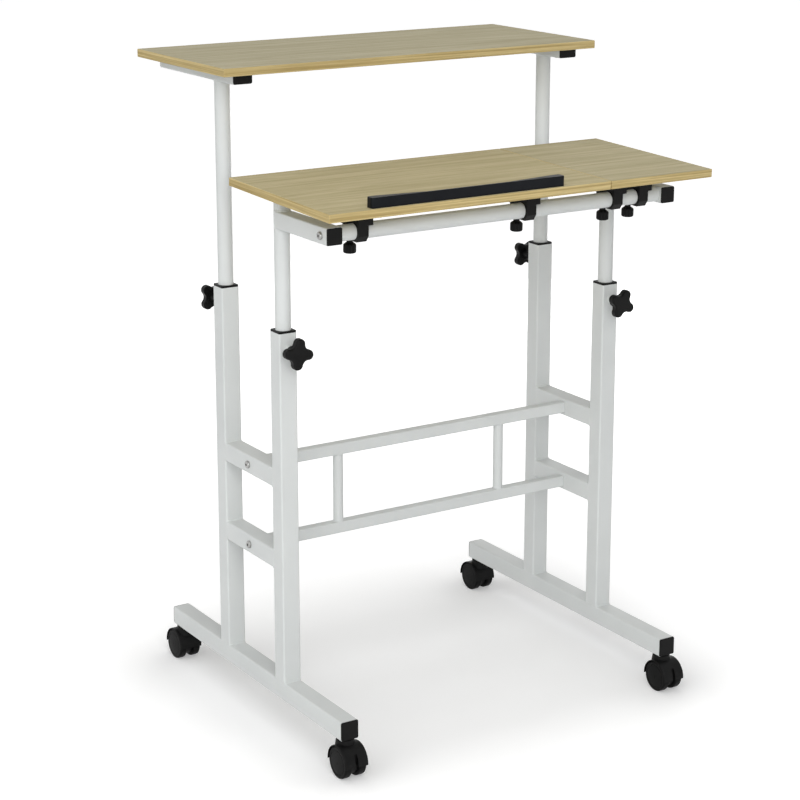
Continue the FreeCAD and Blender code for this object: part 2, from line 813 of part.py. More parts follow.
def make_caster_hood():
    """A hood and its axle, round a stem on the Z axis: a cover over both wheels and a web between them.

    A slot parts the cover in front of the web, down to its lower edge.
    """
    pocket_radius = wheel_radius + wheel_rim_gap
    hood_radius = pocket_radius + hood_wall
    half = caster_width / 2
    axle_y = -caster_trail
    cover = rod(2 * hood_radius, caster_width)
    cover = cover.makeFillet(hood_edge, edges_at(cover, 0) + edges_at(cover, caster_width))
    cover = put(cover, -half, axle_y, wheel_radius, right)
    skirt = wheel_radius - hood_skirt_drop
    below = Part.makeBox(2 * hood_radius, 2 * hood_radius, 2 * hood_radius)
    below.translate(Vector(-hood_radius, axle_y - hood_radius, skirt - 2 * hood_radius))
    web = put(rod(2 * hood_web_radius, hood_web), -hood_web / 2, axle_y, wheel_radius, right)
    boss_top = caster_height - stem_washer_thickness - stem_washer_gap
    boss = Part.makeCone(hood_boss_base / 2, hood_boss / 2, hood_boss_depth)
    boss = boss.makeFillet(hood_boss_edge, edges_at(boss, hood_boss_depth))
    boss = put(boss, 0, 0, boss_top - hood_boss_depth)
    hood = cover.cut(below).fuse([web, boss])
    pocket = rod(2 * pocket_radius, caster_width)
    hood = hood.cut([
        put(pocket, hood_web / 2, axle_y, wheel_radius, right),
        put(pocket, -hood_web / 2, axle_y, wheel_radius, left),
    ])
    slot = Part.makeBox(hood_slot, hood_radius, 2 * hood_radius)
    slot.translate(Vector(-hood_slot / 2, axle_y - hood_web_radius - hood_slot_floor - hood_radius, 0))
    stem_bottom = caster_height - stem_depth - stem_tip_gap
    stem_bore = put(rod(stem_diameter + 2 * stem_fit, caster_height), 0, 0, stem_bottom)
    axle_length = hood_web + 2 * wheel_side_gap + 2 * (wheel_thickness - wheel_skin) - 2 * axle_end_gap
    axle = put(rod(axle_diameter, axle_length), -axle_length / 2, axle_y, wheel_radius, right)
    return [hood.cut([slot, stem_bore, axle]).removeSplitter(), axle]


def caster_turned(piece, side, end):
    """Set a caster piece under a foot, trailing outwards from the desk."""
    turned = piece.copy()
    if end == "rear":
        turned.rotate(Vector(), up, 180)
    return put(turned, side * frame_half_width, ends[end] * stem_y, 0)


def make_caster_wheels():
    """The wheels of one caster, round a stem on the Z axis: one on the left and one on the right."""
    wheel = make_wheel()
    inner = hood_web / 2 + wheel_side_gap
    return {
        "left": put(wheel, -inner, -caster_trail, wheel_radius, left),
        "right": put(wheel, inner, -caster_trail, wheel_radius, right),
    }


def lean(pieces):
    """Turn the level pieces of the panels about the pivot, to the slight lean at which they rest."""
    leaned = [piece.copy() for piece in pieces]
    for piece in leaned:
        piece.rotate(Vector(0, pivot_y, arm_height), right, panel_tilt)
    return leaned


def make_desk():
    """Every piece of the desk by name, each as a list of solids."""
    half = board_length / 2
    large_edge = panel_split - panel_gap / 2
    small_edge = panel_split + panel_gap / 2
    pieces = {
        "foot_end_caps": make_foot_caps(),
        "upper_crossbar": [make_crossbar(upper_rail_height)],
        "lower_crossbar": [make_crossbar(lower_rail_height)],
        "crossbar_struts": make_struts(),
        "crossbar_bolts": make_crossbar_bolts(),
        "post_bushings": make_bushings(),
        "knob_bosses": make_knob_bosses(),
        "caster_stems": make_caster_stems(),
        "upper_shelf": [make_shelf()],
        "shelf_bar_caps": make_shelf_bar_caps(),
        "shelf_screws": make_shelf_screws(),
        "front_tube_plugs": make_front_tube_plugs(),
        "arm_caps": make_arm_caps(),
        "pivot_tube": [make_pivot_tube()],
        "pivot_bolts": make_pivot_bolts(),
        "large_panel": lean([make_panel(-half, large_edge, large_panel_clips_x, stop_screw_places())]),
        "large_panel_clips": lean(make_clips(large_panel_clips_x)),
        "large_panel_screws": lean(make_clip_screws(large_panel_clips_x) + make_stop_screws()),
        "book_stop": lean([make_book_stop()]),
        "small_panel": lean([make_panel(small_edge, half, small_panel_clips_x, [])]),
        "small_panel_clips": lean(make_clips(small_panel_clips_x)),
        "small_panel_screws": lean(make_clip_screws(small_panel_clips_x)),
    }
    for number, x in enumerate(large_panel_clips_x + small_panel_clips_x, start=1):
        pieces["thumb_screw_%d" % number] = lean(make_thumb_screw(x))
    hood = make_caster_hood()
    wheels = make_caster_wheels()
    for side_name, side in sides.items():
        pieces[side_name + "_foot"] = [make_foot(side)]
        pieces[side_name + "_side_rails"] = make_side_rails(side)
        pieces[side_name + "_shelf_bar"] = [make_shelf_bar(side)]
        pieces["rear_" + side_name + "_tube"] = [make_rear_tube(side)]
        pieces["front_" + side_name + "_tube"] = [make_front_tube(side)]
        pieces[side_name + "_arm"] = [make_arm(side)]
        for end in ends:
            corner = end + "_" + side_name
            pieces[corner + "_post"] = [make_post(side, end)]
            pieces[corner + "_knob"] = make_knob(side, end)
            pieces[corner + "_caster_hood"] = [caster_turned(piece, side, end) for piece in hood]
            for wheel_name, wheel in wheels.items():
                turned_side = wheel_name if end == "front" else {"left": "right", "right": "left"}[wheel_name]
                pieces[corner + "_caster_" + turned_side + "_wheel"] = [caster_turned(wheel, side, end)]
    return pieces


os.makedirs("parts", exist_ok=True)
for name, solids in make_desk().items():
    shape = solids[0] if len(solids) == 1 else Part.makeCompound(solids)
    shape.exportStep("parts/%s.step" % name)
    broken = [solid for solid in solids if not solid.isValid() or len(solid.Solids) != 1]
    print(name, len(solids), "solids", "volume %.0f" % shape.Volume, "BROKEN" if broken else "")
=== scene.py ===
# %% [markdown]
# # A mobile standing desk
# Two white welded side frames stand on casters. A rear lift carries a fixed shelf, and a front lift
# carries two panels that tilt on a tube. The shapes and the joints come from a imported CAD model. This
# lesson gives each surface its finish, adds the weld beads that the CAD model leaves out, and sets up
# the light and the camera.

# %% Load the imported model
import json
import math

import bmesh
import bpy
import numpy as np
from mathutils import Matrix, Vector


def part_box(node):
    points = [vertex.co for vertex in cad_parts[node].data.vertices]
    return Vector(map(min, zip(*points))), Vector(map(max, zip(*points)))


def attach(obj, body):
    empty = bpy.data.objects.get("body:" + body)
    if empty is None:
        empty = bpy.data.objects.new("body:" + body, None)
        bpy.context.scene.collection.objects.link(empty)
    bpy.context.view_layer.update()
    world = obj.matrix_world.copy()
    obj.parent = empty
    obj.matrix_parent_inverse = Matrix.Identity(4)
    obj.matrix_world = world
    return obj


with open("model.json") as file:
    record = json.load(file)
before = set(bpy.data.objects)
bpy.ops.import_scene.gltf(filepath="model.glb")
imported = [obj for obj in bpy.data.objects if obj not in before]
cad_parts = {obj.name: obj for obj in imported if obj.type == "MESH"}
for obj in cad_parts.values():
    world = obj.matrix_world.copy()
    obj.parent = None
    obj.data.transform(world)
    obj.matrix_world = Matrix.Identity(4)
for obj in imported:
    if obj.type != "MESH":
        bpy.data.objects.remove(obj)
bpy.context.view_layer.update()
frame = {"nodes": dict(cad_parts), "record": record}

nodes = frame["nodes"]

# %% [markdown]
# ## The camera
# A photograph is a projection, and a camera that was fitted to corners of the boards, feet and posts
# gives it back: a place, two angles and a focal length. The fitted axis meets the picture a little above
# its middle, so the camera has a small vertical shift besides its dip.

# %% Place the camera
camera_place = (-2.1218, -3.2945, 1.6820)
camera_turn = math.radians(32.232)
camera_dip = math.radians(14.235)
picture_side = 800
focal_pixels = 2155.3
axis_above_middle = 70

camera_data = bpy.data.cameras.new("photo_camera")
camera_data.sensor_width = 36.0
camera_data.lens = focal_pixels * camera_data.sensor_width / picture_side
camera_data.shift_y = -axis_above_middle / picture_side
camera = bpy.data.objects.new("photo_camera", camera_data)
camera.location = camera_place
camera.rotation_euler = (math.pi / 2 - camera_dip, 0.0, -camera_turn)
bpy.context.scene.collection.objects.link(camera)
bpy.context.scene.camera = camera
bpy.context.scene.view_settings.view_transform = "Standard"
print(f"lens {camera_data.lens:.1f} mm, shift {camera_data.shift_y:.4f}")

# %% [markdown]
# ## Small tools for node trees
# Materials, the world and node groups are all trees of nodes. One helper adds a node and fills its
# inputs, so that a tree reads as a short list of what feeds what: a socket is linked, and a number or a
# colour is set.

# %% Node helpers
def add(tree, kind, inputs=None, **settings):
    """Adds a node to a tree, sets its properties, and links or sets its inputs."""
    made = tree.nodes.new(kind)
    for name, value in settings.items():
        setattr(made, name, value)
    for name, value in (inputs or {}).items():
        if isinstance(value, bpy.types.NodeSocket):
            tree.links.new(value, made.inputs[name])
        else:
            made.inputs[name].default_value = value
    return made


def sums(tree, operation, first, second=0.0, third=0.0):
    """The result of a Math node."""
    return add(tree, "ShaderNodeMath", {0: first, 1: second, 2: third}, operation=operation).outputs[0]


def spread(tree, value, low, high, to_low=0.0, to_high=1.0):
    """A value between low and high, eased and carried to a new range."""
    inputs = {"Value": value, "From Min": low, "From Max": high, "To Min": to_low, "To Max": to_high}
    return add(tree, "ShaderNodeMapRange", inputs, interpolation_type="SMOOTHSTEP").outputs["Result"]


def blend(tree, factor, first, second, mode="MIX"):
    """Two colours mixed by a factor."""
    made = add(tree, "ShaderNodeMix", {0: factor, 6: first, 7: second}, data_type="RGBA", blend_type=mode)
    return made.outputs[2]


def noise(tree, vector, scale, detail=2.0, roughness=0.5):
    """The value of a noise texture, 0 to 1, with its scale in cycles per unit of its vector."""
    inputs = {"Vector": vector, "Scale": scale, "Detail": detail, "Roughness": roughness}
    return add(tree, "ShaderNodeTexNoise", inputs).outputs[0]


def stretched(tree, vector, scales):
    """A vector with each of its parts scaled by its own number."""
    return add(tree, "ShaderNodeVectorMath", {0: vector, 1: scales}, operation="MULTIPLY").outputs[0]


def background_rays(tree):
    """1 for rays that should find a white background: camera, glossy and transmission rays."""
    path = add(tree, "ShaderNodeLightPath").outputs
    shiny = sums(tree, "MAXIMUM", path["Is Glossy Ray"], path["Is Transmission Ray"])
    return sums(tree, "MAXIMUM", path["Is Camera Ray"], shiny)


print("node helpers ready")

# %% [markdown]
# ## Studio light
# The photograph has no hard shadows: most of the light comes from the left and the front, as in a white
# tent. A world with two broad bright sides does that. Four softboxes add to it. The key stands near the
# front and fades towards the far right post, the high one lights what the front board doesn't shade, and
# the top one, far overhead, draws the desk's soft shadow between its feet. The fill stands low behind the
# right corner, for the sides that the photograph doesn't show. The level is plain, so that a colour
# renders about as it is written.

# %% Build the world
tent_level = 0.22
background_level = 1.0
# Each bright side has a direction, the cosine at which it begins, and its level where it is brightest.
bright_sides = [((-0.70, -0.70, 0.15), 0.0, 0.63), ((-0.97, 0.0, 0.25), 0.3, 0.42)]

world = bpy.data.worlds.new("white_tent")
world.use_nodes = True
bpy.context.scene.world = world
tree = world.node_tree
tree.nodes.clear()
towards = add(tree, "ShaderNodeTexCoord").outputs["Generated"]
tent_light = tent_level
for direction, edge, level in bright_sides:
    dot_inputs = {0: towards, 1: direction}
    facing = add(tree, "ShaderNodeVectorMath", dot_inputs, operation="DOT_PRODUCT").outputs["Value"]
    tent_light = sums(tree, "ADD", spread(tree, facing, edge, 1.0, 0.0, level), tent_light)
level_inputs = {0: background_rays(tree), 2: tent_light, 3: background_level}
strength = add(tree, "ShaderNodeMix", level_inputs, data_type="FLOAT").outputs[0]
background = add(tree, "ShaderNodeBackground", {"Color": (1.0, 1.0, 1.0, 1.0), "Strength": strength})
add(tree, "ShaderNodeOutputWorld", {"Surface": background.outputs[0]})
print("tent with", len(bright_sides), "bright sides")

# %% Place the softboxes
def softbox(name, place, aim, width, height, power):
    """A rectangular lamp that looks from its place to its aim."""
    lamp = bpy.data.lights.new(name, "AREA")
    lamp.shape = "RECTANGLE"
    lamp.size = width
    lamp.size_y = height
    lamp.energy = power
    made = bpy.data.objects.new(name, lamp)
    bpy.context.scene.collection.objects.link(made)
    away = np.array(aim, float) - np.array(place, float)
    flat = math.hypot(away[0], away[1])
    made.location = place
    made.rotation_euler = (math.pi / 2 + math.atan2(away[2], flat), 0.0, -math.atan2(away[0], away[1]))
    made.visible_camera = False
    print(name, power, "W")


softbox("key_softbox", place=(-1.2, -2.6, 1.55), aim=(0.0, 0.0, 0.8), width=1.6, height=1.2, power=20.0)
softbox("high_softbox", place=(-1.3, -2.0, 2.6), aim=(0.0, 0.0, 0.7), width=1.4, height=1.4, power=11.0)
softbox("top_softbox", place=(0.0, 0.0, 8.0), aim=(0.0, 0.0, 0.0), width=1.6, height=1.6, power=132.0)
softbox("fill_softbox", place=(2.5, 2.4, 0.45), aim=(0.0, 0.0, 0.50), width=1.8, height=0.8, power=20.0)

# %% [markdown]
# ## Floor
# A plain pale floor catches the soft shadow under the desk. Its own colour gives somewhat more than a
# third of its brightness. The rest is a glow that only camera, glossy and transmission rays see, so the
# floor runs into the white background. An Ambient Occlusion node dims that glow where the desk closes
# off the floor, so that the shadow stays. It dims by no more than the middle of the shadow needs,
# because the photograph shows no dark rings round the casters.

# %% Lay the floor
floor_reach = 15.0
floor_grey = 0.80
floor_glow = 0.62
shade_reach = 1.5
shade_depth = 2.6
least_open = 0.72

corners = np.array([(-1, -1, 0), (1, -1, 0), (1, 1, 0), (-1, 1, 0)]) * floor_reach
floor_mesh = bpy.data.meshes.new("studio_floor")
floor_mesh.from_pydata(corners.tolist(), [], [(0, 1, 2, 3)])
floor = bpy.data.objects.new("studio_floor", floor_mesh)
bpy.context.scene.collection.objects.link(floor)

floor_paint = bpy.data.materials.new("floor_paint")
floor_paint.use_nodes = True
tree = floor_paint.node_tree
tree.nodes.clear()
openness = add(tree, "ShaderNodeAmbientOcclusion", {"Distance": shade_reach}).outputs["AO"]
shade = sums(tree, "POWER", sums(tree, "MAXIMUM", openness, least_open), shade_depth)
glow = sums(tree, "MULTIPLY", sums(tree, "MULTIPLY", background_rays(tree), shade), floor_glow)
floor_inputs = {
    "Base Color": (floor_grey, floor_grey, floor_grey, 1.0),
    "Roughness": 1.0,
    "Specular IOR Level": 0.0,
    "Emission Color": (1.0, 1.0, 1.0, 1.0),
    "Emission Strength": glow,
}
floor_shader = add(tree, "ShaderNodeBsdfPrincipled", floor_inputs)
add(tree, "ShaderNodeOutputMaterial", {"Surface": floor_shader.outputs[0]})
floor_mesh.materials.append(floor_paint)
print("floor", 2 * floor_reach, "m wide")

# %% [markdown]
# ## Shared effects
# Some effects belong to more than one finish, so each is built once as a node group with named sockets
# and placed in a material with its own values. A group puts out only things that change over the
# surface. The shader itself stays in the material.

# %% A helper for node groups
def shader_group(name, inputs, outputs):
    """A shader node group: its tree, the sockets that bring values into it, and its output node."""
    tree = bpy.data.node_groups.new(name, "ShaderNodeTree")
    for label, kind, value in inputs:
        socket = tree.interface.new_socket(label, in_out="INPUT", socket_type="NodeSocket" + kind)
        if value is not None:
            socket.default_value = value
    for label, kind in outputs:
        tree.interface.new_socket(label, in_out="OUTPUT", socket_type="NodeSocket" + kind)
    inside = tree.nodes.new("NodeGroupInput").outputs
    result = tree.nodes.new("NodeGroupOutput")
    return tree, inside, result


def give(tree, result, **values):
    """Links values to the outputs of a group, by name."""
    for name, socket in values.items():
        tree.links.new(socket, result.inputs[name])


def place_group(tree, group, inputs):
    """Places a node group in a material and fills its inputs. Returns its outputs."""
    return add(tree, "ShaderNodeGroup", inputs, node_tree=group).outputs


print("group helpers ready")

# %% [markdown]
# ### Cast and sprayed skins
# Powder paint and moulded plastic have the same two marks: a fine ripple or grain that breaks up
# highlights, and broad faint clouds where the film is thicker or the skin is shinier. One group makes
# both from two noises. The grain goes to a Bump node, and the clouds go to colour and roughness.

# %% Build the skin group
skin_group, skin_in, skin_out = shader_group(
    "fine_skin",
    [
        ("Vector", "Vector", None),
        ("Colour", "Color", (0.5, 0.5, 0.5, 1.0)),
        ("Cloud colour", "Color", (0.4, 0.4, 0.4, 1.0)),
        ("Grain per metre", "Float", 900.0),
        ("Clouds per metre", "Float", 9.0),
        ("Smoothest", "Float", 0.3),
        ("Roughest", "Float", 0.4),
    ],
    [("Colour", "Color"), ("Roughness", "Float"), ("Height", "Float")],
)
grain = noise(skin_group, skin_in["Vector"], skin_in["Grain per metre"], detail=2.0, roughness=0.5)
clouds = noise(skin_group, skin_in["Vector"], skin_in["Clouds per metre"], detail=3.0, roughness=0.55)
cloud_mask = spread(skin_group, clouds, 0.35, 0.68)
give(
    skin_group,
    skin_out,
    Colour=blend(skin_group, cloud_mask, skin_in["Colour"], skin_in["Cloud colour"]),
    Roughness=spread(skin_group, clouds, 0.3, 0.7, skin_in["Smoothest"], skin_in["Roughest"]),
    Height=grain,
)
print("skin group has", len(skin_group.nodes), "nodes")

# %% [markdown]
# ### Dust
# A desk that rolls about picks up a little dust, most of all low down. This group lays a fine pale
# speckle over any colour, thick at the floor and fading with height.

# %% Build the dust group
specks_per_metre = 160.0

dust_group, dust_in, dust_out = shader_group(
    "settled_dust",
    [
        ("Vector", "Vector", None),
        ("Colour", "Color", (0.5, 0.5, 0.5, 1.0)),
        ("Dust colour", "Color", (0.45, 0.43, 0.40, 1.0)),
        ("Amount low", "Float", 0.1),
        ("Amount high", "Float", 0.0),
        ("Reach", "Float", 0.12),
    ],
    [("Colour", "Color")],
)
height = add(dust_group, "ShaderNodeSeparateXYZ", {0: dust_in["Vector"]}).outputs["Z"]
amount = spread(dust_group, height, 0.0, dust_in["Reach"], dust_in["Amount low"], dust_in["Amount high"])
speckle = noise(dust_group, dust_in["Vector"], specks_per_metre, detail=4.0, roughness=0.7)
specks = spread(dust_group, speckle, 0.45, 0.75)
dust_mask = sums(dust_group, "MULTIPLY", amount, specks)
dusty_colour = blend(dust_group, dust_mask, dust_in["Colour"], dust_in["Dust colour"])
give(dust_group, dust_out, Colour=dusty_colour)
print("dust group has", len(dust_group.nodes), "nodes")

# %% [markdown]
# ### Oak figure
# The boards are faced with a printed oak foil. Oak has three scales of line along the grain: broad
# bands of early and late wood that wander, fine fibre, and short dark pores. Each is a noise that is
# stretched along X. A slow noise bends the bands, so that they run together and part as real figure does.

# %% Build the oak group
drift_per_metre = (1.1, 7.0, 7.0)
fibres_per_metre = 420.0
fibre_slimness = 0.012
pores_per_metre = 900.0
pore_slimness = 0.03
pore_colour = (0.20, 0.14, 0.07, 1.0)
band_share = 0.55
fibre_share = 0.45
fibre_height = 0.3
foil_smoothest = 0.58
foil_roughest = 0.68

oak_group, oak_in, oak_out = shader_group(
    "oak_figure",
    [
        ("Vector", "Vector", None),
        ("Pale wood", "Color", (0.55, 0.44, 0.22, 1.0)),
        ("Dark wood", "Color", (0.42, 0.31, 0.13, 1.0)),
        ("Band width", "Float", 0.02),
        ("Band slimness", "Float", 0.05),
        ("Wander", "Float", 0.05),
        ("Pore depth", "Float", 0.5),
    ],
    [("Colour", "Color"), ("Roughness", "Float"), ("Height", "Float")],
)
along = oak_in["Vector"]
drift = noise(oak_group, stretched(oak_group, along, drift_per_metre), 1.0, detail=2.0, roughness=0.5)
shift = sums(oak_group, "MULTIPLY", sums(oak_group, "SUBTRACT", drift, 0.5), oak_in["Wander"])
bend = add(oak_group, "ShaderNodeCombineXYZ", {"Y": shift, "Z": shift}).outputs[0]
bent = add(oak_group, "ShaderNodeVectorMath", {0: along, 1: bend}, operation="ADD").outputs[0]

per_band = sums(oak_group, "DIVIDE", 1.0, oak_in["Band width"])
slim_inputs = {"X": oak_in["Band slimness"], "Y": 1.0, "Z": 1.0}
band_stretch = add(oak_group, "ShaderNodeCombineXYZ", slim_inputs).outputs[0]
bands = noise(oak_group, stretched(oak_group, bent, band_stretch), per_band, detail=3.0, roughness=0.6)
band_mask = spread(oak_group, bands, 0.32, 0.70)

fibre_way = stretched(oak_group, bent, (fibre_slimness, 1.0, 1.0))
fibre = noise(oak_group, fibre_way, fibres_per_metre, detail=2.0, roughness=0.6)
fibre_mask = spread(oak_group, fibre, 0.30, 0.70)

pore_way = stretched(oak_group, along, (pore_slimness, 1.0, 1.0))
pores = spread(oak_group, noise(oak_group, pore_way, pores_per_metre, detail=1.0), 0.62, 0.72)
pore_mask = sums(oak_group, "MULTIPLY", pores, oak_in["Pore depth"])

fibre_part = sums(oak_group, "MULTIPLY", fibre_mask, fibre_share)
figure = sums(oak_group, "MULTIPLY_ADD", band_mask, band_share, fibre_part)
wood = blend(oak_group, figure, oak_in["Pale wood"], oak_in["Dark wood"])
raised_fibre = sums(oak_group, "MULTIPLY", fibre_mask, fibre_height)
give(
    oak_group,
    oak_out,
    Colour=blend(oak_group, pore_mask, wood, pore_colour),
    Roughness=spread(oak_group, figure, 0.2, 0.8, foil_smoothest, foil_roughest),
    Height=sums(oak_group, "SUBTRACT", raised_fibre, pore_mask),
)
print("oak group has", len(oak_group.nodes), "nodes")

# %% [markdown]
# ## Finishes
# Each finish is one Principled shader. What changes over the surface is linked, and what is the same all
# over is set on the shader's own sockets. A small helper makes the shader, its Bump node and its output.

# %% A helper for finishes
def finish(name, colour, roughness, height, bump_strength, bump_depth, **settings):
    """Closes a material's tree: Bump, Principled shader and output. Settings are plain shader values."""
    tree = colour.id_data
    bump_inputs = {"Strength": bump_strength, "Distance": bump_depth, "Height": height}
    bump = add(tree, "ShaderNodeBump", bump_inputs)
    inputs = {"Base Color": colour, "Roughness": roughness, "Normal": bump.outputs[0]}
    shader = add(tree, "ShaderNodeBsdfPrincipled", inputs)
    for label, value in settings.items():
        shader.inputs[label.replace("_", " ")].default_value = value
    add(tree, "ShaderNodeOutputMaterial", {"Surface": shader.outputs[0]})
    print("finish", name)


def start_finish(name):
    """A new empty material, its tree and its Object coordinates."""
    material = bpy.data.materials.new(name)
    material.use_nodes = True
    tree = material.node_tree
    tree.nodes.clear()
    return material, tree, add(tree, "ShaderNodeTexCoord").outputs["Object"]


print("finish helpers ready")

# %% [markdown]
# ### White powder coat
# The tubes are sprayed with white powder and baked. The film is satin, a touch cool, and has the slight
# orange peel of powder, about a millimetre across and far less deep.

# %% White paint
white_paint, tree, place = start_finish("white_paint")
skin = place_group(tree, skin_group, {
    "Vector": place,
    "Colour": (0.708, 0.730, 0.722, 1.0),
    "Cloud colour": (0.680, 0.702, 0.696, 1.0),
    "Grain per metre": 850.0,
    "Clouds per metre": 7.0,
    "Smoothest": 0.40,
    "Roughest": 0.50,
})
dust = place_group(tree, dust_group, {
    "Vector": place,
    "Colour": skin["Colour"],
    "Amount low": 0.10,
    "Amount high": 0.0,
    "Reach": 0.16,
})
finish(
    "white_paint",
    dust["Colour"],
    skin["Roughness"],
    skin["Height"],
    bump_strength=0.12,
    bump_depth=0.0002,
    Specular_IOR_Level=0.30,
)

# %% [markdown]
# ### Black plastics
# Knobs, clips, plugs and hoods are moulded in black with a fine matt grain. The wheels are a nylon with a
# coarser grain and less shine. The book stop is a cooler, smoother black. What is near the floor has a
# trace of dust.

# %% Moulded black
black_dust = (0.20, 0.19, 0.18, 1.0)
black_dust_reach = 0.06
black_clouds_per_metre = 28.0


def moulded_black(name, colour, worn, grain_per_metre, smoothest, roughest, dust_low, specular):
    """A moulded plastic: fine grain, cloudy shine and a little dust near the floor."""
    material, tree, place = start_finish(name)
    skin = place_group(tree, skin_group, {
        "Vector": place,
        "Colour": colour,
        "Cloud colour": worn,
        "Grain per metre": grain_per_metre,
        "Clouds per metre": black_clouds_per_metre,
        "Smoothest": smoothest,
        "Roughest": roughest,
    })
    dust = place_group(tree, dust_group, {
        "Vector": place,
        "Colour": skin["Colour"],
        "Dust colour": black_dust,
        "Amount low": dust_low,
        "Reach": black_dust_reach,
    })
    finish(
        name,
        dust["Colour"],
        skin["Roughness"],
        skin["Height"],
        bump_strength=0.25,
        bump_depth=0.0002,
        Specular_IOR_Level=specular,
    )
    return material


black_plastic = moulded_black(
    "black_plastic",
    colour=(0.004, 0.004, 0.004, 1.0),
    worn=(0.007, 0.007, 0.007, 1.0),
    grain_per_metre=2200.0,
    smoothest=0.40,
    roughest=0.52,
    dust_low=0.02,
    specular=0.12,
)
black_wheel = moulded_black(
    "black_wheel",
    colour=(0.004, 0.004, 0.004, 1.0),
    worn=(0.006, 0.006, 0.006, 1.0),
    grain_per_metre=1500.0,
    smoothest=0.42,
    roughest=0.52,
    dust_low=0.015,
    specular=0.08,
)
stop_plastic = moulded_black(
    "stop_plastic",
    colour=(0.003, 0.004, 0.006, 1.0),
    worn=(0.005, 0.006, 0.008, 1.0),
    grain_per_metre=1800.0,
    smoothest=0.28,
    roughest=0.36,
    dust_low=0.0,
    specular=0.13,
)

# %% [markdown]
# ### Bright steel
# Bolts, screws and caster stems are zinc plated: a neutral bright grey, hazy where the plating is thin.

# %% Zinc plated steel
bright_steel, tree, place = start_finish("bright_steel")
skin = place_group(tree, skin_group, {
    "Vector": place,
    "Colour": (0.44, 0.44, 0.43, 1.0),
    "Cloud colour": (0.34, 0.34, 0.33, 1.0),
    "Grain per metre": 1600.0,
    "Clouds per metre": 120.0,
    "Smoothest": 0.22,
    "Roughest": 0.36,
})
finish(
    "bright_steel",
    skin["Colour"],
    skin["Roughness"],
    skin["Height"],
    bump_strength=0.08,
    bump_depth=0.0002,
    Metallic=1.0,
)

# %% [markdown]
# ### Oak boards
# A board's faces carry the oak foil with its figure along X, in tones set per board as painted light and
# shade. Its four edges have a band that is yellower than the faces, with the figure along the band. So
# the material needs to know where it is on the board.
# A Mapping node brings Object coordinates to the board's own middle and turns them back by the board's
# tilt, and then the distance from the middle says face, long edge or end. The boards are all equally
# deep, and the shelf lies level, so its box gives the depth of all three.

# %% Board finish
panel_tilt = math.radians(1.5)
edge_band = 0.0003
band_pale = (0.690, 0.555, 0.275, 1.0)
band_dark = (0.345, 0.245, 0.086, 1.0)
shelf_low, shelf_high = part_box("upper_shelf")
half_depth = (shelf_high.y - shelf_low.y) / 2


def board_finish(name, node, tilt, pale, dark):
    """Oak foil on the faces and oak band on the edges of one board. Pale and dark are the board's own
    face tones, set apart per board as painted light and shade.
    """
    material, tree, place = start_finish(name)
    low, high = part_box(node)
    middle = (low + high) / 2
    half_length = (high.x - low.x) / 2
    home = {"Vector": place, "Location": middle, "Rotation": (tilt, 0.0, 0.0)}
    own = add(tree, "ShaderNodeMapping", home, vector_type="TEXTURE").outputs[0]
    x, y, z = add(tree, "ShaderNodeSeparateXYZ", {0: own}).outputs
    at_end = sums(tree, "GREATER_THAN", sums(tree, "ABSOLUTE", x), half_length - edge_band)
    at_long_edge = sums(tree, "GREATER_THAN", sums(tree, "ABSOLUTE", y), half_depth - edge_band)
    along_end = add(tree, "ShaderNodeCombineXYZ", {"X": y, "Y": z, "Z": x}).outputs[0]
    along_edge = add(tree, "ShaderNodeCombineXYZ", {"X": x, "Y": z, "Z": y}).outputs[0]
    way_inputs = {0: at_end, 4: along_edge, 5: along_end}
    band_way = add(tree, "ShaderNodeMix", way_inputs, data_type="VECTOR").outputs[1]
    face = place_group(tree, oak_group, {
        "Vector": place,
        "Pale wood": pale,
        "Dark wood": dark,
        "Band width": 0.013,
        "Band slimness": 0.03,
        "Wander": 0.05,
        "Pore depth": 0.35,
    })
    band = place_group(tree, oak_group, {
        "Vector": band_way,
        "Pale wood": band_pale,
        "Dark wood": band_dark,
        "Band width": 0.0034,
        "Band slimness": 0.008,
        "Wander": 0.003,
        "Pore depth": 0.25,
    })
    on_edge = sums(tree, "MAXIMUM", at_end, at_long_edge)
    finish(
        name,
        blend(tree, on_edge, face["Colour"], band["Colour"]),
        face["Roughness"],
        face["Height"],
        bump_strength=0.10,
        bump_depth=0.0001,
        Specular_IOR_Level=0.20,
    )
    return material


# The three boards share one oak foil, and their face tones differ only as painted light and shade. The
# shelf's darker, greyer copy is painted shade for the dimmer light it gets, the large panel's lighter
# copy is painted light, and the small panel's copy is a little darker than the large one's, painted shade
# too.
shelf_oak_painted_shade = board_finish(
    "shelf_oak_painted_shade",
    "upper_shelf",
    tilt=0.0,
    pale=(0.445, 0.402, 0.265, 1.0),
    dark=(0.325, 0.288, 0.177, 1.0),
)
large_oak_painted_light = board_finish(
    "large_oak_painted_light",
    "large_panel",
    tilt=panel_tilt,
    pale=(0.520, 0.447, 0.264, 1.0),
    dark=(0.360, 0.306, 0.163, 1.0),
)
small_oak_painted_shade = board_finish(
    "small_oak_painted_shade",
    "small_panel",
    tilt=panel_tilt,
    pale=(0.500, 0.438, 0.272, 1.0),
    dark=(0.346, 0.303, 0.176, 1.0),
)

# %% [markdown]
# ## Dress the CAD nodes
# The record names a material slot for every node. Each slot gets its finish. The book stop, which differs
# from the rest of its slot, gets its own, and so do the two panels, whose oak tones differ from the
# shelf's only as painted light and shade.

